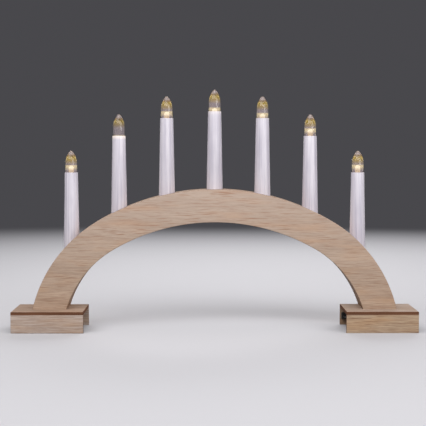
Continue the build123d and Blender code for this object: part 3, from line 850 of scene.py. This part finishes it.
# Switch: a small slide switch moulded in black plastic, with three solder pins.
# Its body is glued to the inside of the right foot's rear wall, and its knob stands in a slot of the wall.
switch_light = shade(28, 28, 28)
switch_dark = shade(14, 14, 14)
dress(moulding("switch black", switch_light, switch_dark), "switch_body", "switch_knob")

# Wires: stranded copper in soft red and black insulation, soldered to contacts, switch and diodes.
# The two long ones climb the right leg and run along the strip of the arch's underside, with a
# branch to each candle.
red_light = shade(176, 34, 28)
red_dark = shade(140, 22, 18)
black_light = shade(40, 40, 40)
black_dark = shade(22, 22, 22)
dress(moulding("red insulation", red_light, red_dark, embossed=False), "wire_positive")
black_insulation = moulding("black insulation", black_light, black_dark, embossed=False)
dress(black_insulation, "wire_negative", "wire_switch")

# Studio: a plain pale floor that fades into an even dark grey backdrop.
# A wide soft light stands in front and above, a weaker one to the right and one low behind the object,
# and a long lens looks slightly down from the front.
backdrop = (0.066, 0.065, 0.072, 1.0)
floor_colour = (0.645, 0.635, 0.665, 1.0)
floor_bounce = (0.2, 0.2, 0.2, 1.0)
floor_size = 60.0
fade_start = 0.25
fade_end = 1.6
ambient_white = (1.0, 1.0, 1.0, 1.0)
ambient_strength = 0.24


def in_sight(tree):
    """Whether a ray shows the surface: straight to the camera, mirrored, or through clear plastic."""
    path = add_node(tree, "ShaderNodeLightPath", {}).outputs
    seen = work_out(tree, "MAXIMUM", path["Is Camera Ray"], path["Is Glossy Ray"])
    return work_out(tree, "MAXIMUM", seen, path["Is Transmission Ray"])


bpy.ops.object.select_all(action="DESELECT")
bpy.ops.mesh.primitive_plane_add(size=floor_size)
floor = bpy.context.object
floor.name = "floor"
finish, tree, shader = new_finish("pale floor", Roughness=0.8, Specular_IOR_Level=0.2)
feed(tree, shader["Base Color"], mix_colours(tree, in_sight(tree), floor_bounce, floor_colour))
away = add_node(tree, "ShaderNodeVectorMath", {0: own_place(tree)}, operation="LENGTH").outputs["Value"]
far_off = between(tree, away, fade_start, fade_end)
far_off.node.interpolation_type = "SMOOTHSTEP"
far_glow = add_node(tree, "ShaderNodeEmission", {"Color": backdrop}).outputs[0]
near_floor = tree.nodes["Principled BSDF"].outputs[0]
blend = add_node(tree, "ShaderNodeMixShader", {0: far_off, 1: near_floor, 2: far_glow}).outputs[0]
feed(tree, tree.nodes["Material Output"].inputs["Surface"], blend)
floor.data.materials.append(finish)

studio = bpy.data.worlds.new("studio")
studio.use_nodes = True
bpy.context.scene.world = studio
tree = studio.node_tree
ambient = {"Color": ambient_white, "Strength": ambient_strength}
ambient = add_node(tree, "ShaderNodeBackground", ambient).outputs[0]
shown = add_node(tree, "ShaderNodeBackground", {"Color": backdrop}).outputs[0]
blend = add_node(tree, "ShaderNodeMixShader", {0: in_sight(tree), 1: ambient, 2: shown}).outputs[0]
feed(tree, tree.nodes["World Output"].inputs["Surface"], blend)

object_middle = (cad_low + cad_high) / 2
key_place = (-0.45, -1.15, 1.15)
key_size = (2.4, 0.8)
key_power = 25
fill_place = (1.05, -1.05, 0.6)
fill_size = (1.0, 1.0)
fill_power = 10.5
rear_place = (0.2, 1.4, 0.5)
rear_size = (1.9, 0.8)
rear_power = 25


def soft_light(name, place, size, power):
    """A rectangular soft light that faces the object, itself out of sight, also through clear plastic."""
    lamp = bpy.data.lights.new(name, "AREA")
    lamp.shape = "RECTANGLE"
    lamp.size, lamp.size_y = size
    lamp.energy = power
    stand = bpy.data.objects.new(name, lamp)
    stand.location = place
    stand.rotation_euler = (object_middle - Vector(place)).to_track_quat("-Z", "Y").to_euler()
    stand.visible_camera = False
    stand.visible_transmission = False
    bpy.context.collection.objects.link(stand)
    return stand


soft_light("key light", key_place, key_size, key_power)
soft_light("fill light", fill_place, fill_size, fill_power)
rear_light = soft_light("rear light", rear_place, rear_size, rear_power)
rear_light.visible_glossy = False

camera_place = (-10.9 * millimetre, -1193.3 * millimetre, 183.1 * millimetre)
camera_tilt = math.radians(3.20)
camera_yaw = math.radians(0.442)
camera_lens = 101.1
camera_film = 36
lens = bpy.data.cameras.new("camera")
lens.sensor_width = camera_film
lens.lens = camera_lens
camera = bpy.data.objects.new("camera", lens)
camera.location = camera_place
camera.rotation_euler = (math.pi / 2 - camera_tilt, 0, -camera_yaw)
bpy.context.collection.objects.link(camera)
bpy.context.scene.camera = camera
bpy.context.scene.view_settings.view_transform = "Standard"
